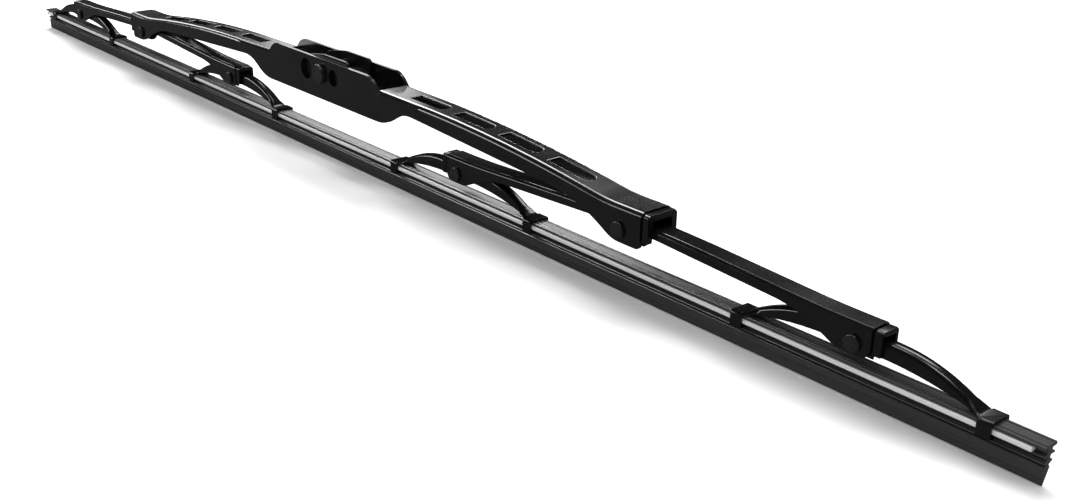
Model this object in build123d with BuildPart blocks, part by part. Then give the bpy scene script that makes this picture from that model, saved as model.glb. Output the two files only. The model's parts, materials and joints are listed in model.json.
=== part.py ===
"""Bracket wiper blade: pressed steel yokes on rivets, plastic bushes, spring strips and a rubber lip.

Frame: X runs along the blade, Y across it, Z away from the glass.
The origin is the middle of the arm rivet, the cross pin that the wiper arm hangs on.
"""
import os
from math import atan2, cos, hypot, pi, radians, sin, tan

from build123d import *

# Lever layout, the same on both sides of the arm rivet
blade_length = 600.0
claw_end_margin = 14.7  # from the rubber's end to the last claw
claw_arm = 38.0  # from a claw yoke's pivot to each claw
secondary_arm = 82.8  # from a secondary yoke's pivot to each claw yoke's pivot
secondary_pivot_x = blade_length / 2 - claw_end_margin - claw_arm - secondary_arm
secondary_pivot_drop = 13.4  # below the arm rivet
claw_pivot_drop = 5.7  # below the secondary yoke's pivot

# Sheet metal, with the legs of the flats that stand for its bends
primary_sheet = 1.2
primary_bend = 1.1
secondary_sheet = 0.95
secondary_bend = 0.8
claw_sheet = 0.7
claw_bend = 1.1

# Widths across the blade
bridge_width = 14.0
primary_end_width = 12.8
secondary_width = 7.6

# Clearances
pivot_gap = 0.05  # between a rivet and the yoke that turns on it, on the radius
press_gap = 0.02  # between a rivet and the pieces that it is riveted into, on the radius
side_gap = 0.12  # between a turning yoke and the bush beside it
claw_gap = 0.15  # between a claw and what it holds

# Primary bracket: an open bridge between two cheeks, then a tapering channel each way
bridge_half = 40.0
cheek_top = 5.9
cheek_bottom = -10.0
cheek_slant = 5.0  # how far a cheek's top corner leans in
cheek_belly = 3.5  # how far a cheek's belly runs past the bridge
cheek_flank = 15.0  # from the bridge's end to the top of the slope behind the belly
cheek_tail = 8.0  # how far a cheek runs on into the channel's wall
cheek_top_reach = 3.5
cheek_belly_reach = 5.0
channel_top = 1.6
channel_depth = 4.9
channel_mouth = 1.0  # how far the channel's top plate reaches in over the bridge
primary_end_rise = 7.8  # end of the channel's top above the secondary pivot
primary_end_margin = 9.0  # past the secondary pivot
primary_ear_drop = 3.8  # below the secondary pivot
primary_ear_back = 2.5  # from the pivot back to the ear's lower corner
primary_level_back = 6.5  # from the pivot back to where the top levels out
primary_knee_back = 18.5  # from the pivot back to the bend in the lower edge
primary_knee_depth = 4.5
primary_arch_reach = 46.0  # arcs at the outline's corners start this far before them
primary_level_reach = 5.0
primary_ear_rounding = 1.5
primary_heel_reach = 3.0
primary_knee_reach = 13.0

# Slots in the primary bracket's top plates
slot_count = 4
slot_first = 53.8
slot_last_back = 18.1  # from the secondary pivot back to the end of the last slot
slot_bar = 6.6  # metal between two slots
slot_width = 5.0

# Side-pin holes through the cheeks
large_pin_hole = 8.0
large_pin_x = -10.2
small_pin_hole = 6.35
small_pin_x = 9.2

# Secondary yokes
secondary_rise = 3.0  # top above its own pivot
secondary_crown = 20.0  # half-length of the level stretch over the pivot
secondary_depth = 2.9  # wall height over the crown
secondary_end_rise = 6.0  # end of its top above the claw yoke's pivot
secondary_level_back = 11.0  # from the claw yoke's pivot back to where the top levels out
secondary_end_margin = 5.2  # past the claw yoke's pivot
secondary_ear_drop = 3.1  # below the claw yoke's pivot
secondary_ear_back = 5.0
secondary_knee_back = 18.0
secondary_knee_depth = 3.3
secondary_arch_reach = 18.0
secondary_level_reach = 10.0
secondary_ear_rounding = 3.0
secondary_heel_reach = 2.5
secondary_knee_reach = 8.0
pivot_ear_half = 6.5  # lower corners of the ear round its own pivot
pivot_ear_flare = 4.0
pivot_ear_drop = 3.4
pivot_ear_flare_reach = 2.0
pivot_ear_rounding = 3.0

# Claw yokes
claw_yoke_rise = 2.7  # top above its pivot
claw_yoke_level = 10.0  # half-length of the level stretch over the pivot
claw_yoke_foot = 1.6  # lower edge of its walls below the pivot
claw_ear_half = 3.6  # lower corners of the ear round its own pivot
claw_ear_flare = 3.8
claw_ear_drop = 2.7
claw_seat_drop = 5.2  # top of the claws' saddle below the pivot
claw_length = 4.0
claw_corner = 0.9  # rounding of a claw's shoulders
claw_overlap = 0.75  # how far an arm runs on into its claw
claw_flare = 4.5  # length over which an arm widens to its claw
claw_flare_half = 3.8
claw_hook = 1.5  # from a claw's inner face to its hook's edge

# Plastic bushes: liners that the yokes turn in
bush_back = 4.5  # behind the pivot
bush_drop = 2.7  # below the pivot
bush_groove = 0.7  # between the end of the channel and the bush's collar
collar_inset = 0.3  # of a collar inside its channel's outline
collar_drop = 1.3  # below the pivot
primary_collar = 2.1  # length of the collar
primary_bush_roof = 1.1
secondary_collar = 2.3
secondary_bush_roof = 0.9
claw_bush_wall = 0.4  # between a secondary yoke and the claw yoke in it

# Rivets
arm_rivet_pin = 5.0
arm_rivet_head = 7.6
arm_rivet_head_height = 1.6
secondary_rivet_pin = 3.4
secondary_rivet_head = 5.4
claw_rivet_pin = 3.0
claw_rivet_head = 5.0
rivet_head_height = 1.0

# Hook adapter between the cheeks
adapter_gap = 0.25  # to the cheeks
adapter_wall = 1.0
adapter_top = 7.4
adapter_bottom = -5.2
adapter_front = 17.5
adapter_back = 5.2  # rear edge of its walls, behind the rivet
adapter_ramp_back = 9.0
adapter_ramp_front = 0.4
adapter_ramp_foot = 5.9  # height of the ramp's lower end
adapter_tail_back = 13.5
adapter_tail_top = 4.6
adapter_tail_bottom = 1.5
adapter_hub = 8.0  # barrel that the arm's hook wraps round
adapter_web = 1.2
adapter_web_drop = 5.2  # top of the web below the adapter's top
adapter_rounding = 2.0
adapter_tail_rounding = 0.4

# Rubber, from the top of its head down to the lip's edge
head_width = 5.5
head_rib = 0.95  # upper flange, over the strips
head_band = 3.0  # raised band along the middle of the top
head_groove = 0.5
head_groove_depth = 0.3
lower_flange = 0.45
lower_flange_width = 5.0
neck_width = 1.3
neck_height = 1.05
barb_width = 3.9
barb_shoulder = 0.6
barb_edge = 0.3
barb_height = 1.6
hinge_width = 0.8
lip_width = 2.7
lip_shoulder = 0.45
lip_height = 5.2
lip_edge = 0.7
lip_lean = 11.0  # degrees, towards -Y

# Spring strips in the head's side slots
strip_thickness = 1.35
strip_width = 2.05
strip_proud = 0.35  # past the side of the rubber's head
strip_setback = 3.0  # short of the rubber's ends
strip_gap = 0.04

# Share of a run that the arcs at its ends may take
longest_share = 0.98

# Places that follow from the sizes above
secondary_pivot_z = -secondary_pivot_drop
claw_pivot_z = secondary_pivot_z - claw_pivot_drop
claw_pivots = (secondary_pivot_x - secondary_arm, secondary_pivot_x + secondary_arm)
claw_yoke_width = secondary_width - 2 * (secondary_sheet + press_gap + claw_bush_wall + side_gap)
primary_end = secondary_pivot_x + primary_end_margin
primary_end_top = secondary_pivot_z + primary_end_rise
saddle_top = claw_pivot_z - claw_seat_drop
head_top = saddle_top - claw_sheet - claw_gap
slot_top = head_top - head_rib
slot_bottom = slot_top - strip_thickness - 2 * strip_gap
lower_flange_bottom = slot_bottom - lower_flange
strip_edge = head_width / 2 + strip_proud


def primary_half_width(x):
    """Outer half-width of the primary bracket: parallel at the bridge, tapering to its ends."""
    taper = (bridge_width - primary_end_width) / 2 / (primary_end - bridge_half)
    return bridge_width / 2 - taper * max(0.0, x - bridge_half)


def mirrored(points):
    """Points of a right half, closed by the same points on the left."""
    return points + [(-x, z) for x, z in reversed(points)]


def soft_face(plane, corners, reaches):
    """Face with arcs at its corners, each arc starting its reach before the corner."""
    count = len(corners)
    lengths = []
    headings = []
    for i in range(count):
        (x0, y0), (x1, y1) = corners[i], corners[(i + 1) % count]
        lengths.append(hypot(x1 - x0, y1 - y0))
        headings.append(atan2(y1 - y0, x1 - x0))
    shares = []
    for i in range(count):
        wanted = reaches[i] + reaches[(i + 1) % count]
        shares.append(min(1.0, longest_share * lengths[i] / wanted) if wanted else 1.0)
    radii = []
    for i in range(count):
        turn = abs((headings[i] - headings[i - 1] + pi) % (2 * pi) - pi)
        reach = reaches[i] * min(shares[i], shares[i - 1])
        radii.append(reach / tan(turn / 2))
    with BuildSketch(plane) as face:
        with BuildLine():
            FilletPolyline(*corners, radius=radii, close=True)
        make_face()
    return face.sketch


def side_plane(x, z):
    """Plane of a side view whose origin is a pivot."""
    return Plane(origin=(x, 0, z), x_dir=(1, 0, 0), z_dir=(0, -1, 0))


def straight_plan(x0, half0, x1, half1):
    """Plan view of a bar that narrows evenly from one end to the other."""
    return soft_face(Plane.XY, [(x0, half0), (x1, half1), (x1, -half1), (x0, -half0)], [0, 0, 0, 0])


def solid_bar(side_view, plan_view):
    """Solid bar with a side view and a plan view."""
    with BuildPart() as body:
        extrude(side_view, amount=bridge_width, both=True)
        extrude(plan_view, amount=blade_length, both=True, mode=Mode.INTERSECT)
    return body.part


def long_top_edges(body):
    """Edges along both sides of a bar's top."""
    tops = [face for face in body.faces() if face.normal_at().Z > 0.5]
    return [edge for face in tops for edge in face.edges() if abs((edge % 0.5).Y) < 0.5]


def cross_holes(places, diameter):
    """Cut round holes across the part that is being built, at places in the side view."""
    with Locations(*[(x, 0, z) for x, z in places]):
        Cylinder(diameter / 2, 2 * bridge_width, rotation=(90, 0, 0), mode=Mode.SUBTRACT)


def make_rivet(place, pin, head, head_height, grip):
    """Cross rivet: a plain shank with a low flat head at each end."""
    x, z = place
    with BuildPart() as rivet:
        with Locations((x, 0, z)):
            Cylinder(pin / 2, grip, rotation=(90, 0, 0))
        for side in (1, -1):
            with Locations((x, side * (grip + head_height) / 2, z)):
                Cylinder(head / 2, head_height, rotation=(90, 0, 0))
    return rivet.part


def make_bush(pivot, channel_end, channel_half, channel_roof, sheet, bend, inner, roof_wall, collar, pin):
    """U-shaped liner round a pivot, open below, with a collar outside the end of its channel."""
    x, z = pivot
    away = 1 if channel_end > x else -1
    start = x - away * bush_back
    collar_start = channel_end + away * bush_groove
    foot = z - bush_drop
    collar_foot = z - collar_drop
    outer = channel_half - sheet - press_gap
    roof = channel_roof - sheet
    collar_half = channel_half - collar_inset
    collar_roof = channel_roof - collar_inset
    inner_roof = roof - roof_wall
    with BuildPart() as bush:
        liner = mirrored([(outer, roof), (outer, foot), (inner, foot), (inner, inner_roof)])
        extrude(soft_face(Plane.YZ.offset(start), liner, [0] * 8), amount=collar_start - start)
        rim = mirrored(
            [
                (collar_half - bend, collar_roof),
                (collar_half, collar_roof - bend),
                (collar_half, collar_foot),
                (inner, collar_foot),
                (inner, inner_roof),
            ]
        )
        extrude(soft_face(Plane.YZ.offset(collar_start), rim, [0] * 10), amount=away * collar)
        cross_holes([pivot], pin + 2 * press_gap)
    return bush.part


# Primary bracket, one pressing: a channel each way and the two cheeks of the bridge between them
mouth_x = bridge_half - channel_mouth
crown_x = (bridge_half + secondary_pivot_x) / 2
level_x = secondary_pivot_x - primary_level_back
flank_x = bridge_half + cheek_flank
knee_x = secondary_pivot_x - primary_knee_back
channel_bottom = channel_top - channel_depth
ear_bottom = secondary_pivot_z - primary_ear_drop
knee_fall = (channel_top - primary_end_top) * (knee_x - crown_x) / (level_x - crown_x)
knee_z = channel_top - knee_fall - primary_knee_depth
tail_x = flank_x + cheek_tail
tail_z = channel_bottom + (knee_z - channel_bottom) * cheek_tail / (knee_x - flank_x)
end_half = primary_half_width(primary_end)
bridge_inside = bridge_width / 2 - primary_sheet
end_inside = end_half - primary_sheet

channel_outside = solid_bar(
    soft_face(
        Plane.XZ,
        [
            (mouth_x, channel_top),
            (crown_x, channel_top),
            (level_x, primary_end_top),
            (primary_end, primary_end_top),
            (primary_end, ear_bottom),
            (secondary_pivot_x - primary_ear_back, ear_bottom),
            (knee_x, knee_z),
            (flank_x, channel_bottom),
            (mouth_x, channel_bottom),
        ],
        [
            0,
            primary_arch_reach,
            primary_level_reach,
            0,
            primary_ear_rounding,
            primary_heel_reach,
            primary_knee_reach,
            0,
            0,
        ],
    ),
    straight_plan(mouth_x, bridge_width / 2, primary_end, end_half),
)
channel_inside = solid_bar(
    soft_face(
        Plane.XZ,
        [
            (mouth_x - primary_sheet, channel_top - primary_sheet),
            (crown_x, channel_top - primary_sheet),
            (level_x, primary_end_top - primary_sheet),
            (primary_end + primary_sheet, primary_end_top - primary_sheet),
            (primary_end + primary_sheet, ear_bottom - primary_sheet),
            (mouth_x - primary_sheet, ear_bottom - primary_sheet),
        ],
        [0, primary_arch_reach, primary_level_reach, 0, 0, 0],
    ),
    straight_plan(mouth_x - primary_sheet, bridge_inside, primary_end + primary_sheet, end_inside),
)

with BuildPart() as cheek:
    cheek_half = [
        (bridge_half - cheek_slant, cheek_top),
        (bridge_half, channel_top - primary_bend),
        (tail_x, channel_top - primary_bend),
        (tail_x, tail_z),
        (flank_x, channel_bottom),
        (bridge_half + cheek_belly, cheek_bottom),
    ]
    cheek_reaches = [cheek_top_reach, 0, 0, 0, cheek_belly_reach, cheek_belly_reach]
    extrude(
        soft_face(Plane.XZ, mirrored(cheek_half), cheek_reaches + cheek_reaches[::-1]),
        amount=bridge_width,
        both=True,
    )
    tail_half = primary_half_width(tail_x)
    with BuildSketch(Plane.XY):
        with BuildLine():
            Polyline(
                (-tail_x, tail_half),
                (-bridge_half, bridge_width / 2),
                (bridge_half, bridge_width / 2),
                (tail_x, tail_half),
                (tail_x, tail_half - primary_sheet),
                (bridge_half, bridge_inside),
                (-bridge_half, bridge_inside),
                (-tail_x, tail_half - primary_sheet),
                close=True,
            )
        make_face()
    extrude(amount=blade_length, both=True, mode=Mode.INTERSECT)

slot_pitch = (secondary_pivot_x - slot_last_back - slot_first + slot_bar) / slot_count
slot_straight = slot_pitch - slot_bar - slot_width / 2
with BuildPart() as primary_bracket:
    add(channel_outside)
    chamfer(long_top_edges(primary_bracket), length=primary_bend)
    add(channel_inside, mode=Mode.SUBTRACT)
    with BuildSketch(Plane.XY.offset(channel_top)):
        for i in range(slot_count):
            start = slot_first + i * slot_pitch
            with Locations((start + slot_straight / 2, 0)):
                Rectangle(slot_straight, slot_width)
            with Locations((start + slot_straight, 0)):
                Circle(slot_width / 2)
    extrude(amount=ear_bottom - channel_top, mode=Mode.SUBTRACT)
    mirror(about=Plane.YZ)
    add(cheek)
    mirror(cheek.part, about=Plane.XZ)
    cross_holes([(0, 0)], arm_rivet_pin + 2 * press_gap)
    cross_holes([(large_pin_x, 0)], large_pin_hole)
    cross_holes([(small_pin_x, 0)], small_pin_hole)
    secondary_pivot_places = [(side * secondary_pivot_x, secondary_pivot_z) for side in (1, -1)]
    cross_holes(secondary_pivot_places, secondary_rivet_pin + 2 * press_gap)

# Secondary yokes, pressed channels that rock on the primary bracket's ends
secondary_end = secondary_arm + secondary_end_margin
secondary_end_top = secondary_end_rise - claw_pivot_drop
secondary_ear_bottom = -claw_pivot_drop - secondary_ear_drop
secondary_level_x = secondary_arm - secondary_level_back
secondary_knee_x = secondary_arm - secondary_knee_back
secondary_slope = (secondary_rise - secondary_end_top) / (secondary_level_x - secondary_crown)
secondary_knee_z = (
    secondary_rise - secondary_slope * (secondary_knee_x - secondary_crown) - secondary_knee_depth
)
secondary_inside = secondary_width / 2 - secondary_sheet
secondary_top_half = [
    (secondary_crown, secondary_rise),
    (secondary_level_x, secondary_end_top),
    (secondary_end, secondary_end_top),
]
secondary_bottom_half = [
    (secondary_end, secondary_ear_bottom),
    (secondary_arm - secondary_ear_back, secondary_ear_bottom),
    (secondary_knee_x, secondary_knee_z),
    (pivot_ear_half + pivot_ear_flare, secondary_rise - secondary_depth),
    (pivot_ear_half, -pivot_ear_drop),
]
secondary_reaches = [
    secondary_arch_reach,
    secondary_level_reach,
    0,
    secondary_ear_rounding,
    secondary_heel_reach,
    secondary_knee_reach,
    pivot_ear_flare_reach,
    pivot_ear_rounding,
]
secondary_plane = side_plane(secondary_pivot_x, secondary_pivot_z)
far = secondary_end + secondary_sheet
secondary_outside = solid_bar(
    soft_face(
        secondary_plane,
        mirrored(secondary_top_half + secondary_bottom_half),
        secondary_reaches + secondary_reaches[::-1],
    ),
    straight_plan(
        secondary_pivot_x - far, secondary_width / 2, secondary_pivot_x + far, secondary_width / 2
    ),
)
secondary_hollow = [(x, z - secondary_sheet) for x, z in secondary_top_half[:2]] + [
    (far, secondary_end_top - secondary_sheet),
    (far, secondary_ear_bottom - secondary_sheet),
]
hollow_reaches = secondary_reaches[:2] + [0, 0]
secondary_inside_bar = solid_bar(
    soft_face(secondary_plane, mirrored(secondary_hollow), hollow_reaches + hollow_reaches[::-1]),
    straight_plan(
        secondary_pivot_x - far, secondary_inside, secondary_pivot_x + far, secondary_inside
    ),
)

with BuildPart() as secondary_yoke_right:
    add(secondary_outside)
    chamfer(long_top_edges(secondary_yoke_right), length=secondary_bend)
    add(secondary_inside_bar, mode=Mode.SUBTRACT)
    cross_holes([(secondary_pivot_x, secondary_pivot_z)], secondary_rivet_pin + 2 * pivot_gap)
    cross_holes([(x, claw_pivot_z) for x in claw_pivots], claw_rivet_pin + 2 * press_gap)

# Claw yokes, arched channels with a claw at each end that grips the rubber's head
outer_pivot_x = claw_pivots[1]
claw_plane = side_plane(outer_pivot_x, claw_pivot_z)
claw_tip = claw_arm - claw_length / 2 + claw_overlap
claw_tip_z = -claw_seat_drop - claw_sheet / 2
claw_flare_x = claw_tip - claw_flare
claw_inside = strip_edge + claw_gap
claw_outside = claw_inside + claw_sheet
hook_top = lower_flange_bottom - claw_gap
hook_bottom = hook_top - claw_sheet


def claw_top_view(inset):
    """Side view of a claw yoke's top, inset from its outside and deep enough to bend its edges."""
    deep = hook_bottom - claw_pivot_z
    with BuildSketch(claw_plane) as view:
        with BuildLine():
            top = Line((0, claw_yoke_rise - inset), (claw_yoke_level, claw_yoke_rise - inset))
            arch = TangentArc(top @ 1, (claw_tip, claw_tip_z - inset), tangent=top % 1)
            Polyline(arch @ 1, (claw_tip, deep), (0, deep))
            mirror(about=Plane.YZ)
        make_face()
    return view.sketch


with BuildSketch(claw_plane) as claw_yoke_view:
    with BuildLine():
        top = Line((0, claw_yoke_rise), (claw_yoke_level, claw_yoke_rise))
        arch = TangentArc(top @ 1, (claw_tip, claw_tip_z), tangent=top % 1)
        belly = TangentArc(
            (claw_ear_half + claw_ear_flare, -claw_yoke_foot),
            (claw_tip, claw_tip_z - claw_sheet / 2),
            tangent=(1, 0),
        )
        Line(arch @ 1, belly @ 1)
        Polyline(belly @ 0, (claw_ear_half, -claw_ear_drop), (0, -claw_ear_drop))
        mirror(about=Plane.YZ)
    make_face()

claw_half = claw_yoke_width / 2
claw_hollow_half = claw_half - claw_sheet
claw_hollow_end = claw_arm - claw_length / 2 - claw_sheet
with BuildSketch(Plane.XY) as claw_yoke_plan:
    with Locations((outer_pivot_x, 0)):
        Polygon(
            *mirrored([(claw_tip, claw_flare_half), (claw_flare_x, claw_half)]),
            *mirrored([(-claw_tip, -claw_flare_half), (-claw_flare_x, -claw_half)]),
            align=None,
        )
with BuildPart() as claw_yoke_hollow:
    add(
        solid_bar(
            claw_top_view(claw_sheet),
            straight_plan(
                outer_pivot_x - claw_hollow_end,
                claw_hollow_half,
                outer_pivot_x + claw_hollow_end,
                claw_hollow_half,
            ),
        )
    )
    chamfer(long_top_edges(claw_yoke_hollow), length=claw_bend - claw_sheet / 2)

with BuildPart() as claw_yoke_outer_right:
    add(solid_bar(claw_top_view(0), claw_yoke_plan.sketch))
    chamfer(long_top_edges(claw_yoke_outer_right), length=claw_bend)
    extrude(claw_yoke_view.sketch, amount=bridge_width, both=True, mode=Mode.INTERSECT)
    add(claw_yoke_hollow.part, mode=Mode.SUBTRACT)
    for side in (1, -1):
        claw_start = outer_pivot_x + side * claw_arm - claw_length / 2
        claw_section = soft_face(
            Plane.YZ.offset(claw_start),
            mirrored(
                [
                    (claw_outside, saddle_top),
                    (claw_outside, hook_bottom),
                    (claw_inside - claw_hook, hook_bottom),
                    (claw_inside - claw_hook, hook_top),
                    (claw_inside, hook_top),
                    (claw_inside, saddle_top - claw_sheet),
                ]
            ),
            [claw_corner, 0, 0, 0, 0, 0, 0, 0, 0, 0, 0, claw_corner],
        )
        extrude(claw_section, amount=claw_length)
    cross_holes([(outer_pivot_x, claw_pivot_z)], claw_rivet_pin + 2 * pivot_gap)

with BuildPart() as claw_yoke_inner_right:
    with Locations((claw_pivots[0] - outer_pivot_x, 0, 0)):
        add(claw_yoke_outer_right.part)

# Bushes at the primary bracket's ends and at the secondary yokes' ends
pivot_bush_right = make_bush(
    (secondary_pivot_x, secondary_pivot_z),
    channel_end=primary_end,
    channel_half=end_half,
    channel_roof=primary_end_top,
    sheet=primary_sheet,
    bend=primary_bend,
    inner=secondary_width / 2 + side_gap,
    roof_wall=primary_bush_roof,
    collar=primary_collar,
    pin=secondary_rivet_pin,
)
claw_bushes_right = []
for claw_pivot_x, away in zip(claw_pivots, (-1, 1)):
    claw_bushes_right.append(
        make_bush(
            (claw_pivot_x, claw_pivot_z),
            channel_end=secondary_pivot_x + away * secondary_end,
            channel_half=secondary_width / 2,
            channel_roof=secondary_pivot_z + secondary_end_top,
            sheet=secondary_sheet,
            bend=secondary_bend,
            inner=claw_yoke_width / 2 + side_gap,
            roof_wall=secondary_bush_roof,
            collar=secondary_collar,
            pin=claw_rivet_pin,
        )
    )

# Hook adapter, a plastic saddle that turns on the arm rivet
adapter_outside = bridge_inside - adapter_gap
adapter_inside = adapter_outside - adapter_wall
with BuildPart() as arm_adapter:
    adapter_view = soft_face(
        Plane.XZ,
        [
            (-adapter_tail_back, adapter_tail_bottom),
            (-adapter_tail_back, adapter_tail_top),
            (-adapter_ramp_back, adapter_ramp_foot),
            (adapter_ramp_front, adapter_top),
            (adapter_front, adapter_top),
            (adapter_front, adapter_bottom),
            (-adapter_back, adapter_bottom),
            (-adapter_back, adapter_tail_bottom),
        ],
        [0, adapter_tail_rounding, 0, 0, adapter_rounding, adapter_rounding, adapter_rounding, 0],
    )
    extrude(adapter_view, amount=adapter_outside, both=True)
    with BuildSketch(Plane.XY):
        Rectangle(bridge_half, 2 * adapter_inside)
    extrude(amount=bridge_half, both=True, mode=Mode.SUBTRACT)
    Cylinder(adapter_hub / 2, 2 * adapter_inside, rotation=(90, 0, 0))
    with Locations((adapter_front / 2, 0, adapter_top - adapter_web_drop - adapter_web / 2)):
        Box(adapter_front, 2 * adapter_inside, adapter_web)
    cross_holes([(0, 0)], arm_rivet_pin + 2 * pivot_gap)

# Rubber, one extrusion: a slotted head, a barb and a leaning lip on a thin hinge
strip_inner_edge = strip_edge - strip_width
barb_top = lower_flange_bottom - neck_height
hinge_z = barb_top - barb_height
upper_right = [
    (head_band / 2, head_top),
    (head_band / 2, head_top - head_groove_depth),
    (head_band / 2 + head_groove, head_top - head_groove_depth),
    (head_band / 2 + head_groove, head_top),
    (head_width / 2, head_top),
    (head_width / 2, slot_top),
    (strip_inner_edge - strip_gap, slot_top),
    (strip_inner_edge - strip_gap, slot_bottom),
    (lower_flange_width / 2, slot_bottom),
    (lower_flange_width / 2, lower_flange_bottom),
    (neck_width / 2, lower_flange_bottom),
    (neck_width / 2, barb_top),
    (barb_width / 2, barb_top - barb_shoulder),
    (barb_width / 2, barb_top - barb_shoulder - barb_edge),
    (hinge_width / 2, hinge_z),
]
lip_down = Vector(-sin(radians(lip_lean)), -cos(radians(lip_lean)))
lip_across = Vector(cos(radians(lip_lean)), -sin(radians(lip_lean)))
hinge = Vector(0, hinge_z)
lip_points = [
    hinge + lip_across * (half * side) + lip_down * depth
    for side, half, depth in (
        (1, lip_width / 2, lip_shoulder),
        (1, lip_edge / 2, lip_height),
        (-1, lip_edge / 2, lip_height),
        (-1, lip_width / 2, lip_shoulder),
    )
]
upper_left = [(-y, z) for y, z in reversed(upper_right)]
with BuildPart() as wiper_rubber:
    with BuildSketch(Plane.YZ):
        with BuildLine():
            Polyline(*upper_right, *lip_points, *upper_left, close=True)
        make_face()
    extrude(amount=blade_length / 2, both=True)

# Spring strips, stainless flats that keep the rubber straight and spread its load
with BuildPart() as flexor_strip_back:
    with Locations((0, strip_edge - strip_width / 2, (slot_top + slot_bottom) / 2)):
        Box(blade_length - 2 * strip_setback, strip_width, strip_thickness)

with BuildPart() as flexor_strip_front:
    mirror(flexor_strip_back.part, about=Plane.XZ)

# Pieces of the right half, with their mirror images on the left
right_pieces = {
    "secondary_yoke": secondary_yoke_right.part,
    "claw_yoke_inner": claw_yoke_inner_right.part,
    "claw_yoke_outer": claw_yoke_outer_right.part,
    "pivot_bush": pivot_bush_right,
    "claw_bush_inner": claw_bushes_right[0],
    "claw_bush_outer": claw_bushes_right[1],
    "pivot_rivet": make_rivet(
        (secondary_pivot_x, secondary_pivot_z),
        secondary_rivet_pin,
        secondary_rivet_head,
        rivet_head_height,
        2 * primary_half_width(secondary_pivot_x - secondary_rivet_head / 2),
    ),
}
for name, claw_pivot_x in zip(("claw_rivet_inner", "claw_rivet_outer"), claw_pivots):
    right_pieces[name] = make_rivet(
        (claw_pivot_x, claw_pivot_z), claw_rivet_pin, claw_rivet_head, rivet_head_height, secondary_width
    )
pieces = {
    "primary_bracket": primary_bracket.part,
    "arm_rivet": make_rivet((0, 0), arm_rivet_pin, arm_rivet_head, arm_rivet_head_height, bridge_width),
    "arm_adapter": arm_adapter.part,
    "wiper_rubber": wiper_rubber.part,
    "flexor_strip_front": flexor_strip_front.part,
    "flexor_strip_back": flexor_strip_back.part,
}
for name, piece in right_pieces.items():
    with BuildPart() as left_piece:
        mirror(piece, about=Plane.YZ)
    pieces[f"{name}_right"] = piece
    pieces[f"{name}_left"] = left_piece.part

os.makedirs("parts", exist_ok=True)
for name, piece in pieces.items():
    piece.label = name
    export_step(piece, f"parts/{name}.step")
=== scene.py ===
"""Looks of the bracket wiper blade: black paint, plastic, spring steel and rubber on a pale floor."""

import json
from math import cos, radians, sin

import bmesh
import bpy
from mathutils import Matrix, Vector


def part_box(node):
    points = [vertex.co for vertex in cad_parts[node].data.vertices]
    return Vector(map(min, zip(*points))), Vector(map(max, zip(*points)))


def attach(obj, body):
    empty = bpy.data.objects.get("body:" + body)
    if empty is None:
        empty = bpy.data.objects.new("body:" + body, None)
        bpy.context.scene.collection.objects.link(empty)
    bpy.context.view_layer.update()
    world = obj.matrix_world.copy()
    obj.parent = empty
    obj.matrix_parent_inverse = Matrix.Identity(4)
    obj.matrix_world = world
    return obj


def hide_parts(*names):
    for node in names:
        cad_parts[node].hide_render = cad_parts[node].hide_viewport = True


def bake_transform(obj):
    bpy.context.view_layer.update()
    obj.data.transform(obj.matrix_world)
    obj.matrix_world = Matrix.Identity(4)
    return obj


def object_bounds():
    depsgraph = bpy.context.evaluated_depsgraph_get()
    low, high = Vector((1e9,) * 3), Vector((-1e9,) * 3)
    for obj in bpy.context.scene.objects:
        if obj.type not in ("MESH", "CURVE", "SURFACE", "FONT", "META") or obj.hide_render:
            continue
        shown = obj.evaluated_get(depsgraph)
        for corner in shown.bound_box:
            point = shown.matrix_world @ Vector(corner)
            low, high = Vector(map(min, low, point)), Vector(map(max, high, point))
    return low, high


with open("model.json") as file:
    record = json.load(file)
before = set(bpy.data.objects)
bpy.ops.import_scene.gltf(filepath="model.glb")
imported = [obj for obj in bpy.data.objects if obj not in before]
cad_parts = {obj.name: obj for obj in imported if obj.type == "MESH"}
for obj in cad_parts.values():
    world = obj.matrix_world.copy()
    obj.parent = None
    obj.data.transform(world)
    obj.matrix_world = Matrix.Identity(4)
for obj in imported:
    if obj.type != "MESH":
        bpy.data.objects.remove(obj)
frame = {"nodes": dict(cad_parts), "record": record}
cad_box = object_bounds()
cad_nodes = frame["nodes"]
scene = bpy.context.scene
mm = 0.001


def add_node(tree, kind, **settings):
    """New node with its settings."""
    node = tree.nodes.new(kind)
    for name, value in settings.items():
        setattr(node, name, value)
    return node


def effect_group(name, inputs, outputs):
    """Shader group with plain number inputs and outputs, and its two end nodes."""
    group = bpy.data.node_groups.new(name, "ShaderNodeTree")
    for socket, value in inputs.items():
        made = group.interface.new_socket(socket, in_out="INPUT", socket_type="NodeSocketFloat")
        made.default_value = value
    for socket in outputs:
        group.interface.new_socket(socket, in_out="OUTPUT", socket_type="NodeSocketFloat")
    return group, group.nodes.new("NodeGroupInput"), group.nodes.new("NodeGroupOutput")


def noise(tree, place, scale, detail):
    """Noise texture at a place, with a number or a socket for its scale."""
    made = add_node(tree, "ShaderNodeTexNoise")
    made.inputs["Detail"].default_value = detail
    tree.links.new(place, made.inputs["Vector"])
    if isinstance(scale, (int, float)):
        made.inputs["Scale"].default_value = scale
    else:
        tree.links.new(scale, made.inputs["Scale"])
    return made.outputs["Fac"]


def spread(tree, value):
    """Noise stretched from its usual middle range to run from 0 to 1."""
    made = add_node(tree, "ShaderNodeMapRange")
    made.inputs["From Min"].default_value = 0.3
    made.inputs["From Max"].default_value = 0.7
    tree.links.new(value, made.inputs["Value"])
    return made.outputs["Result"]


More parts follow.
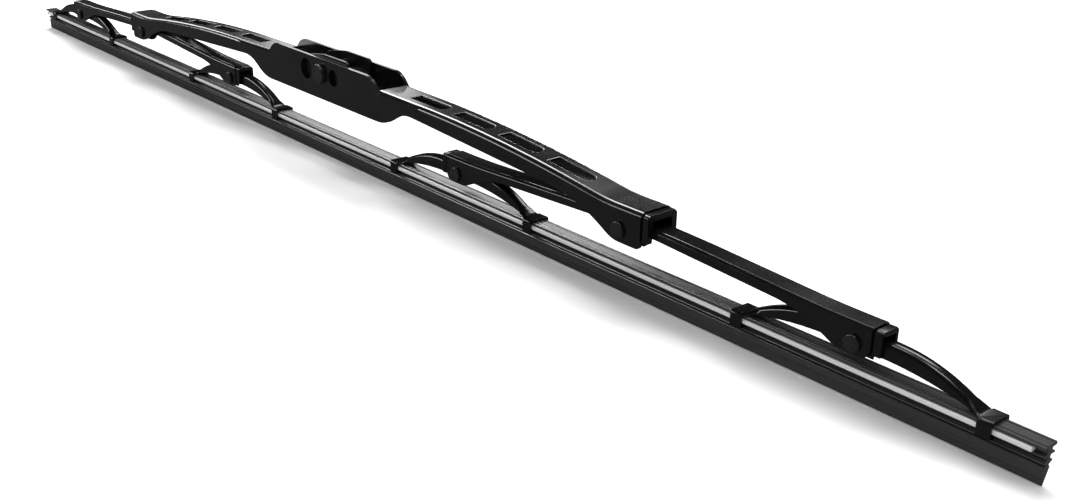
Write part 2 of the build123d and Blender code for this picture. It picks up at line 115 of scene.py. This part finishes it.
def roughness_between(group, given, mask):
    """Roughness that runs from the group's low one to its high one as a mask runs from 0 to 1."""
    made = add_node(group, "ShaderNodeMapRange")
    group.links.new(mask, made.inputs["Value"])
    group.links.new(given.outputs["Roughness Low"], made.inputs["To Min"])
    group.links.new(given.outputs["Roughness High"], made.inputs["To Max"])
    return made.outputs["Result"]


def blotched_skin():
    """Skin that is even from afar: a fine surface ripple, and broad patches that are a little duller."""
    group, given, result = effect_group(
        "blotched_skin",
        {"Ripple Scale": 1500, "Patch Scale": 60, "Roughness Low": 0.25, "Roughness High": 0.35},
        ["Height", "Patches", "Roughness"],
    )
    place = add_node(group, "ShaderNodeTexCoord").outputs["Object"]
    ripple = noise(group, place, scale=given.outputs["Ripple Scale"], detail=2)
    patches = spread(group, noise(group, place, scale=given.outputs["Patch Scale"], detail=1))
    group.links.new(ripple, result.inputs["Height"])
    group.links.new(patches, result.inputs["Patches"])
    group.links.new(roughness_between(group, given, patches), result.inputs["Roughness"])
    return group


def drawn_lines():
    """Fine lines along the blade, as rolling and extruding leave them."""
    group, given, result = effect_group(
        "drawn_lines",
        {"Along Scale": 8, "Across Scale": 4000, "Roughness Low": 0.25, "Roughness High": 0.4},
        ["Lines", "Roughness"],
    )
    place = add_node(group, "ShaderNodeTexCoord").outputs["Object"]
    stretch = add_node(group, "ShaderNodeCombineXYZ")
    group.links.new(given.outputs["Along Scale"], stretch.inputs["X"])
    group.links.new(given.outputs["Across Scale"], stretch.inputs["Y"])
    group.links.new(given.outputs["Across Scale"], stretch.inputs["Z"])
    stretched = add_node(group, "ShaderNodeVectorMath", operation="MULTIPLY")
    group.links.new(place, stretched.inputs[0])
    group.links.new(stretch.outputs["Vector"], stretched.inputs[1])
    lines = spread(group, noise(group, stretched.outputs["Vector"], scale=1, detail=4))
    group.links.new(lines, result.inputs["Lines"])
    group.links.new(roughness_between(group, given, lines), result.inputs["Roughness"])
    return group


def finish_material(name, group, values, height, colour, depth, metallic=0.0, specular=0.5):
    """Material whose colour, roughness and bump come from one effect group."""
    mask, low, high = colour
    material = bpy.data.materials.new(name)
    material.use_nodes = True
    tree = material.node_tree
    shader = tree.nodes["Principled BSDF"]
    shader.inputs["Metallic"].default_value = metallic
    shader.inputs["Specular IOR Level"].default_value = specular
    effect = add_node(tree, "ShaderNodeGroup", node_tree=group)
    for socket, value in values.items():
        effect.inputs[socket].default_value = value
    mix = add_node(tree, "ShaderNodeMix", data_type="RGBA")
    colours = {socket.name: socket for socket in mix.inputs if socket.type == "RGBA"}
    colours["A"].default_value = (*low, 1)
    colours["B"].default_value = (*high, 1)
    tree.links.new(effect.outputs[mask], mix.inputs["Factor"])
    mixed = [socket for socket in mix.outputs if socket.type == "RGBA"][0]
    tree.links.new(mixed, shader.inputs["Base Color"])
    tree.links.new(effect.outputs["Roughness"], shader.inputs["Roughness"])
    bump = add_node(tree, "ShaderNodeBump")
    bump.inputs["Strength"].default_value = 1.0
    bump.inputs["Distance"].default_value = depth
    tree.links.new(effect.outputs[height], bump.inputs["Height"])
    tree.links.new(bump.outputs["Normal"], shader.inputs["Normal"])
    return material


# Finishes, one for each material slot of the record
skin = blotched_skin()
lines = drawn_lines()
finishes = {
    "painted_steel": finish_material(
        "painted_steel",
        skin,
        {"Ripple Scale": 700, "Patch Scale": 70, "Roughness Low": 0.17, "Roughness High": 0.20},
        height="Height",
        colour=("Patches", (0.0034, 0.0034, 0.0036), (0.0052, 0.0052, 0.0055)),
        depth=0.0003 * mm,
    ),
    "rivet_steel": finish_material(
        "rivet_steel",
        skin,
        {"Ripple Scale": 2600, "Patch Scale": 240, "Roughness Low": 0.20, "Roughness High": 0.30},
        height="Height",
        colour=("Patches", (0.0090, 0.0090, 0.0093), (0.0130, 0.0130, 0.0134)),
        depth=0.005 * mm,
    ),
    "bush_plastic": finish_material(
        "bush_plastic",
        skin,
        {"Ripple Scale": 5200, "Patch Scale": 160, "Roughness Low": 0.18, "Roughness High": 0.26},
        height="Height",
        colour=("Patches", (0.0020, 0.0020, 0.0020), (0.0034, 0.0034, 0.0034)),
        depth=0.003 * mm,
    ),
    "adapter_plastic": finish_material(
        "adapter_plastic",
        skin,
        {"Ripple Scale": 4600, "Patch Scale": 110, "Roughness Low": 0.30, "Roughness High": 0.42},
        height="Height",
        colour=("Patches", (0.0014, 0.0014, 0.0015), (0.0024, 0.0024, 0.0025)),
        depth=0.004 * mm,
        specular=0.2,
    ),
    "strip_steel": finish_material(
        "strip_steel",
        lines,
        {"Along Scale": 6, "Across Scale": 5200, "Roughness Low": 0.22, "Roughness High": 0.42},
        height="Lines",
        colour=("Lines", (0.66, 0.66, 0.655), (0.90, 0.90, 0.89)),
        depth=0.003 * mm,
        metallic=0.3,
    ),
    "rubber": finish_material(
        "rubber",
        lines,
        {"Along Scale": 10, "Across Scale": 2600, "Roughness Low": 0.22, "Roughness High": 0.40},
        height="Lines",
        colour=("Lines", (0.0260, 0.0260, 0.0252), (0.0430, 0.0430, 0.0415)),
        depth=0.006 * mm,
    ),
}

# Edges of the carried-over nodes: cut edges softened as paint and moulding soften them, and round bends
cut_edge_widths = {
    "primary_bracket": 0.2 * mm,
    "secondary_yoke": 0.16 * mm,
    "claw_yoke": 0.08 * mm,
    "pivot_bush": 0.12 * mm,
    "claw_bush": 0.1 * mm,
    "arm_adapter": 0.18 * mm,
    "rivet": 0.3 * mm,
}
cut_turn = radians(60)
cut_steps = 3
bend_widths = {"primary_bracket": 0.7 * mm, "secondary_yoke": 0.25 * mm}
bend_turns = (radians(38), radians(52))
bend_steps = 4
lengthwise_share = (0.9, 1.1)  # share of a bend's edge that runs along the blade
slots_span = (50 * mm, 150 * mm)
slot_half = 2.7 * mm
rim_turns = (radians(60), radians(120))
rim_share = 0.6  # width of a slot's soft rim, as a share of the bend's
sharp_turns = (radians(50), radians(181))  # up to a full fold
same_corner = 0.01 * mm
same_face_turn = radians(0.4)


def shape_group(name):
    """Geometry group with one geometry in and out, and the socket that its chain starts from."""
    group = bpy.data.node_groups.new(name, "GeometryNodeTree")
    group.interface.new_socket("Geometry", in_out="INPUT", socket_type="NodeSocketGeometry")
    group.interface.new_socket("Geometry", in_out="OUTPUT", socket_type="NodeSocketGeometry")
    return group, group.nodes.new("NodeGroupInput").outputs["Geometry"]


def both(group, first, second):
    """Whether two tests hold together."""
    joined = add_node(group, "FunctionNodeBooleanMath", operation="AND")
    group.links.new(first, joined.inputs[0])
    group.links.new(second, joined.inputs[1])
    return joined.outputs["Boolean"]


def between(group, value, low, high):
    """Whether a value lies between two limits."""
    tests = []
    for operation, limit in (("GREATER_THAN", low), ("LESS_THAN", high)):
        test = add_node(group, "FunctionNodeCompare", data_type="FLOAT", operation=operation)
        test.inputs["B"].default_value = limit
        group.links.new(value, test.inputs["A"])
        tests.append(test.outputs["Result"])
    return both(group, *tests)


def size_of(group, value):
    """A value without its sign."""
    made = add_node(group, "ShaderNodeMath", operation="ABSOLUTE")
    group.links.new(value, made.inputs[0])
    return made.outputs["Value"]


def edge_turn(group):
    """Angle by which the faces beside an edge turn."""
    return add_node(group, "GeometryNodeInputMeshEdgeAngle").outputs["Unsigned Angle"]


def bend_edges():
    """Geometry group that marks the edges of a pressing's bends and of its slots' rims for rounding."""
    group, shape = shape_group("bend_edges")
    turn = edge_turn(group)
    ends = add_node(group, "GeometryNodeInputMeshEdgeVertices")
    run = add_node(group, "ShaderNodeVectorMath", operation="SUBTRACT")
    group.links.new(ends.outputs["Position 1"], run.inputs[0])
    group.links.new(ends.outputs["Position 2"], run.inputs[1])
    heading = add_node(group, "ShaderNodeVectorMath", operation="NORMALIZE")
    group.links.new(run.outputs["Vector"], heading.inputs[0])
    along = add_node(group, "ShaderNodeSeparateXYZ")
    group.links.new(heading.outputs["Vector"], along.inputs["Vector"])
    lengthwise = between(group, size_of(group, along.outputs["X"]), *lengthwise_share)
    bend = both(group, lengthwise, between(group, turn, *bend_turns))
    position = add_node(group, "GeometryNodeInputPosition").outputs["Position"]
    place = add_node(group, "ShaderNodeSeparateXYZ")
    group.links.new(position, place.inputs["Vector"])
    among_slots = between(group, size_of(group, place.outputs["X"]), *slots_span)
    in_slot = between(group, size_of(group, place.outputs["Y"]), -slot_half, slot_half)
    rim = both(group, both(group, among_slots, in_slot), between(group, turn, *rim_turns))
    for edges, share in ((bend, 1.0), (rim, rim_share)):
        store = add_node(group, "GeometryNodeStoreNamedAttribute", data_type="FLOAT", domain="EDGE")
        store.inputs["Name"].default_value = "bevel_weight_edge"
        store.inputs["Value"].default_value = share
        group.links.new(edges, store.inputs["Selection"])
        group.links.new(shape, store.inputs["Geometry"])
        shape = store.outputs["Geometry"]
    group.links.new(shape, group.nodes.new("NodeGroupOutput").inputs["Geometry"])
    return group


def smooth_turns():
    """Geometry group that shades gentle turns smoothly and keeps sharp corners sharp."""
    group, shape = shape_group("smooth_turns")
    sharp = between(group, edge_turn(group), *sharp_turns)
    for domain, smooth, chosen in (("FACE", True, None), ("EDGE", True, None), ("EDGE", False, sharp)):
        shade = add_node(group, "GeometryNodeSetShadeSmooth", domain=domain)
        shade.inputs["Shade Smooth"].default_value = smooth
        if chosen:
            group.links.new(chosen, shade.inputs["Selection"])
        group.links.new(shape, shade.inputs["Geometry"])
        shape = shade.outputs["Geometry"]
    group.links.new(shape, group.nodes.new("NodeGroupOutput").inputs["Geometry"])
    return group


def even_normals(piece):
    """Let a piece's larger faces steer its shading."""
    piece.modifiers.new("even_normals", "WEIGHTED_NORMAL").keep_sharp = True


def soften_edges(piece, cut_width, bend_width):
    """Join a node's split corners and round its bends and cut edges, without touching its own mesh."""
    weld = piece.modifiers.new("joined_corners", "WELD")
    weld.merge_threshold = same_corner
    flat = piece.modifiers.new("whole_faces", "DECIMATE")
    flat.decimate_type = "DISSOLVE"
    flat.angle_limit = same_face_turn
    if bend_width:
        piece.modifiers.new("bend_edges", "NODES").node_group = marked_bends
        bend = piece.modifiers.new("round_bends", "BEVEL")
        bend.width = bend_width
        bend.segments = bend_steps
        bend.limit_method = "WEIGHT"
        bend.use_clamp_overlap = False
    cut = piece.modifiers.new("soft_cut_edges", "BEVEL")
    cut.width = cut_width
    cut.segments = cut_steps
    cut.limit_method = "ANGLE"
    cut.angle_limit = cut_turn
    cut.use_clamp_overlap = "bush" not in piece.name
    piece.modifiers.new("smooth_turns", "NODES").node_group = smoothed
    even_normals(piece)


marked_bends = bend_edges()
smoothed = smooth_turns()
for entry in frame["record"]["subparts"]:
    piece = cad_nodes[entry["node"]]
    piece.data.materials.clear()
    piece.data.materials.append(finishes[entry["material_slot"]])
    for name, width in cut_edge_widths.items():
        if name in entry["node"]:
            soften_edges(piece, width, bend_widths.get(name))

# Rubber and spring strips: node, with its pieces' title, finish and corner radius
soft_nodes = {
    "wiper_rubber": ("rubber", "rubber", 0.25 * mm),
    "flexor_strip_front": ("strip_front", "strip_steel", 0.3 * mm),
    "flexor_strip_back": ("strip_back", "strip_steel", 0.3 * mm),
}
same_point = 0.0005 * mm
end_depth = 0.001 * mm
corner_steps = 3
corner_edge_share = 0.4  # most of an edge that the curve at one of its ends may take
bend_spacing = 3 * mm

# Places along the blade where the rubber changes from one body to the next, from the middle outwards
secondary_grip = 30 * mm
inner_claw_near = 41.5 * mm
inner_claw_far = 121.9 * mm
pivot_grip = 150 * mm
secondary_pivot_x = 164.5 * mm
outer_grip = 179 * mm
outer_claw_near = 207.1 * mm


def section_outline(node):
    """Outline of an extruded node's section, in order, read from its right end."""
    cast = bmesh.new()
    cast.from_mesh(cad_nodes[node].data)
    bmesh.ops.remove_doubles(cast, verts=cast.verts, dist=same_point)
    reach = max(vert.co.x for vert in cast.verts) - end_depth
    end_faces = [face for face in cast.faces if all(vert.co.x > reach for vert in face.verts)]
    rim = [
        edge
        for face in end_faces
        for edge in face.edges
        if sum(other in end_faces for other in edge.link_faces) == 1
    ]
    following = {}
    for edge in rim:
        for vert in edge.verts:
            following.setdefault(vert, []).append(edge.other_vert(vert))
    first = rim[0].verts[0]
    loop = [first, following[first][0]]
    while loop[-1] is not first:
        loop.append(next(vert for vert in following[loop[-1]] if vert is not loop[-2]))
    outline = [Vector((vert.co.y, vert.co.z)) for vert in loop[:-1]]
    cast.free()
    return outline


def rounded_outline(outline, radius):
    """The same outline with each corner cut by a short curve."""
    points = []
    for i, corner in enumerate(outline):
        before = outline[i - 1] - corner
        after = outline[(i + 1) % len(outline)] - corner
        reach = min(radius, corner_edge_share * before.length, corner_edge_share * after.length)
        start = corner + before.normalized() * reach
        end = corner + after.normalized() * reach
        for step in range(corner_steps + 1):
            share = step / corner_steps
            points.append(start * (1 - share) ** 2 + corner * 2 * share * (1 - share) + end * share**2)
    return points


def placed_piece(name, cast):
    """Object in the scene from a mesh under construction, which is freed."""
    bmesh.ops.recalc_face_normals(cast, faces=cast.faces)
    made = bpy.data.meshes.new(name)
    cast.to_mesh(made)
    cast.free()
    piece = bpy.data.objects.new(name, made)
    scene.collection.objects.link(piece)
    return piece


def join_rings(cast, rings):
    """Faces between each ring of corners and the next one."""
    for ring, following in zip(rings, rings[1:]):
        for i in range(len(ring)):
            cast.faces.new((ring[i - 1], ring[i], following[i], following[i - 1]))


def extruded_run(name, outline, stations, closed_end):
    """Length of an extrusion through stations along the blade, closed where the blade ends."""
    cast = bmesh.new()
    rings = [[cast.verts.new((x, point.x, point.y)) for point in outline] for x in stations]
    join_rings(cast, rings)
    if closed_end:
        cap = cast.faces.new(rings[-1])
        for edge in cap.edges:
            edge.smooth = False
    for face in cast.faces:
        face.smooth = True
    piece = placed_piece(name, cast)
    even_normals(piece)
    return piece


def bend_stations(start, bend_start, bend_end, end):
    """Places of an extrusion's rings: close together between the given bend start and end, with none
    between elsewhere.
    """
    count = max(1, round((bend_end - bend_start) / bend_spacing))
    places = {start, end}
    for i in range(count + 1):
        places.add(bend_start + (bend_end - bend_start) * i / count)
    return sorted(places)


# Runs of the rubber and the strips, one for each stretch between two neighbouring bodies
rubber_runs = []
for node, (title, finish, radius) in soft_nodes.items():
    outline = rounded_outline(section_outline(node), radius)
    node_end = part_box(node)[1].x
    for side, sign in (("right", 1), ("left", -1)):
        secondary = f"secondary_{side}"
        inner = f"claws_inner_{side}"
        outer = f"claws_outer_{side}"
        runs = {
            "middle": ("bracket", secondary, 0, 0, secondary_grip, secondary_grip),
            "inner": (secondary, inner, secondary_grip, secondary_grip, inner_claw_near, inner_claw_far),
            "pivot": (inner, secondary, inner_claw_far, inner_claw_far, pivot_grip, secondary_pivot_x),
            "outer": (secondary, outer, secondary_pivot_x, outer_grip, outer_claw_near, node_end),
        }
        for run, (near, far, start, bend_start, bend_end, end) in runs.items():
            stations = [sign * x for x in bend_stations(start, bend_start, bend_end, end)]
            piece = extruded_run(f"{title}_{run}_{side}", outline, stations, run == "outer")
            piece.data.materials.append(finishes[finish])
            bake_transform(piece)
            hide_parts(node)
            if title == "rubber":
                rubber_runs.append(piece)

# Painted shade: dark sheets at the hook adapter's sides, which close the view through the large side-pin
# hole so that it shows black
shade_sheet_outline = [(-14.8, 2.6), (-14.8, -2.4), (-12.4, -4.7), (-5.4, -4.7), (-5.4, 2.6)]  # X and Z in mm
shade_sheet_near = 4.6 * mm
shade_sheet_far = 5.5 * mm
shade_sheet_edge = 0.2 * mm
shade_sheet_edge_steps = 2
for side, sign in (("front", -1), ("back", 1)):
    cast = bmesh.new()
    near_ring, far_ring = (
        [cast.verts.new((x * mm, sign * y, z * mm)) for x, z in shade_sheet_outline]
        for y in (shade_sheet_near, shade_sheet_far)
    )
    join_rings(cast, (near_ring, far_ring))
    cast.faces.new(near_ring[::-1])
    cast.faces.new(far_ring)
    cast.normal_update()
    bmesh.ops.bevel(cast, geom=cast.edges[:], offset=shade_sheet_edge, segments=shade_sheet_edge_steps, affect="EDGES")
    # each dark sheet stands in for the shade inside the hole
    shade_sheet = placed_piece(f"adapter_shade_sheet_{side}", cast)
    shade_sheet.data.materials.append(finishes["adapter_plastic"])
    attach(shade_sheet, "adapter")

# Camera at the photograph's angle
view_azimuth = radians(48.966)
view_elevation = radians(22.31)
view_roll = radians(1.185)
view_distance = 410.419 * mm
view_target = Vector((122.3, 0, -35.329)) * mm
back = Vector(
    (
        sin(view_azimuth) * cos(view_elevation),
        -cos(view_azimuth) * cos(view_elevation),
        sin(view_elevation),
    )
)
level = Vector((cos(view_azimuth), sin(view_azimuth), 0))
upward = back.cross(level)
across = cos(view_roll) * level + sin(view_roll) * upward
camera = bpy.data.objects.new("camera", bpy.data.cameras.new("camera"))
camera.data.lens = 41.63
camera.data.sensor_width = 36
camera.data.clip_start = 10 * mm
camera.matrix_world = Matrix.Translation(view_target + back * view_distance) @ (
    Matrix((across, back.cross(across), back)).transposed().to_4x4()
)
scene.collection.objects.link(camera)
scene.camera = camera


def darker_in_reflections(tree, plain, reflected):
    """Shader that the camera and soft light see in one way, and reflections in another."""
    seen_by = add_node(tree, "ShaderNodeLightPath")
    mix = add_node(tree, "ShaderNodeMixShader")
    tree.links.new(seen_by.outputs["Is Glossy Ray"], mix.inputs["Fac"])
    tree.links.new(plain, mix.inputs[1])
    tree.links.new(reflected, mix.inputs[2])
    return mix.outputs["Shader"]


# Pale floor, which reflections see as a darker grey, so that black faces stay black
floor_half = 6.0
floor_gap = 0.05 * mm
floor_z = cad_box[0].z - floor_gap
floor_corners = [
    (x * floor_half, y * floor_half, floor_z) for x, y in ((-1, -1), (1, -1), (1, 1), (-1, 1))
]
floor_mesh = bpy.data.meshes.new("floor")
floor_mesh.from_pydata(floor_corners, [], [(0, 1, 2, 3)])
floor = bpy.data.objects.new("floor", floor_mesh)
scene.collection.objects.link(floor)
floor_material = bpy.data.materials.new("floor")
floor_material.use_nodes = True
floor_tree = floor_material.node_tree
floor_shader = floor_tree.nodes["Principled BSDF"]
floor_shader.inputs["Base Color"].default_value = (0.92, 0.92, 0.92, 1)
floor_shader.inputs["Roughness"].default_value = 0.9
floor_shader.inputs["Specular IOR Level"].default_value = 0.0
dark_floor = add_node(floor_tree, "ShaderNodeBsdfDiffuse")
dark_floor.inputs["Color"].default_value = (0.07, 0.07, 0.07, 1)
floor_look = darker_in_reflections(floor_tree, floor_shader.outputs["BSDF"], dark_floor.outputs["BSDF"])
floor_tree.links.new(floor_look, floor_tree.nodes["Material Output"].inputs["Surface"])
floor_mesh.materials.append(floor_material)

# Studio: a white room that reflections see as nearly black, and soft boxes
world = bpy.data.worlds.new("studio")
scene.world = world
world.use_nodes = True
room = world.node_tree
room_light = room.nodes["Background"]
room_light.inputs["Color"].default_value = (1, 1, 1, 1)
room_light.inputs["Strength"].default_value = 0.75
room_dark = add_node(room, "ShaderNodeBackground")
room_dark.inputs["Color"].default_value = (1, 1, 1, 1)
room_dark.inputs["Strength"].default_value = 0.02
room_look = darker_in_reflections(room, room_light.outputs["Background"], room_dark.outputs["Background"])
room.links.new(room_look, room.nodes["World Output"].inputs["Surface"])


def soft_box(name, place, aim, width, height, watts):
    """Rectangular studio light at a place, turned to its aim, which the camera does not see."""
    lamp = bpy.data.lights.new(name, "AREA")
    lamp.shape = "RECTANGLE"
    lamp.size = width
    lamp.size_y = height
    lamp.energy = watts
    made = bpy.data.objects.new(name, lamp)
    made.location = place
    made.rotation_euler = (Vector(aim) - Vector(place)).to_track_quat("-Z", "Y").to_euler()
    made.visible_camera = False
    scene.collection.objects.link(made)
    return made


def reflected_card(name, place, width, height, watts, pieces):
    """Bright card that only shows in reflections, in some pieces or, with none named, in all of them."""
    card = soft_box(name, place, card_aim, width, height, watts)
    card.visible_diffuse = False
    if pieces:
        lit = bpy.data.collections.new(f"{name}_lit")
        for piece in pieces:
            lit.objects.link(piece)
        card.light_linking.receiver_collection = lit


key = soft_box(
    "soft_box_above", place=(-0.35, 0.5, 1.0), aim=(0.05, 0, 0), width=1.2, height=0.7, watts=22
)
key.visible_glossy = False

# Cards that put the photograph's highlights on the dark parts: place, width, height, watts and pieces
card_aim = (0.1, 0, 0)
bracket_alone = [cad_nodes["primary_bracket"]]
bridge_pieces = [cad_nodes[name] for name in ("primary_bracket", "arm_adapter", "arm_rivet")]
claw_pieces = [piece for node, piece in cad_nodes.items() if "claw_yoke" in node]
yoke_pieces = [
    piece for node, piece in cad_nodes.items() if node not in soft_nodes and "claw_yoke" not in node
]
cards = {
    "card_low_behind": ((-2.05, 1.28, 0.63), 0.36, 0.24, 0.85, bridge_pieces),
    "card_slot_rims": ((-1.62, 1.785, 0.24), 0.44, 0.24, 5.0, bracket_alone),
    "card_knee": ((-0.40, 0.66, 0.56), 0.15, 0.13, 0.10, bracket_alone),
    "card_along_rubber": ((-0.70, 0.60, 0.34), 0.46, 0.24, 1.6, rubber_runs),
    "card_rubber_end": ((-0.06, 0.72, 0.39), 0.10, 0.12, 0.06, rubber_runs),
    "card_rubber_lip": ((-0.59, -0.34, 0.52), 0.3, 0.3, 22.0, rubber_runs),
    "card_behind": ((-0.62, 0.32, 0.616), 0.24, 0.65, 8.0, yoke_pieces),
    "card_behind_claws": ((-0.615, 0.263, 0.69), 0.24, 0.35, 2.1, claw_pieces),
    "card_left_behind": ((-2.39, 0.33, 0.895), 0.48, 0.79, 7.5, yoke_pieces),
    "card_above": ((-0.19, 0.10, 0.95), 0.3, 0.3, 1.4, None),
    "card_over_right_end": ((0.25, 0.10, 1.0), 0.3, 0.25, 2.0, None),
    "card_above_right": ((-0.06, 0.684, 0.695), 0.34, 0.30, 4.0, yoke_pieces),
    "card_above_right_claws": ((-0.06, 0.684, 0.695), 0.34, 0.30, 2.0, claw_pieces),
    "card_low_left": ((-1.94, -1.46, 0.605), 1.4, 0.44, 17.0, None),
}
for name, (place, width, height, watts, pieces) in cards.items():
    reflected_card(name, place, width, height, watts, pieces)

scene.view_settings.view_transform = "Standard"
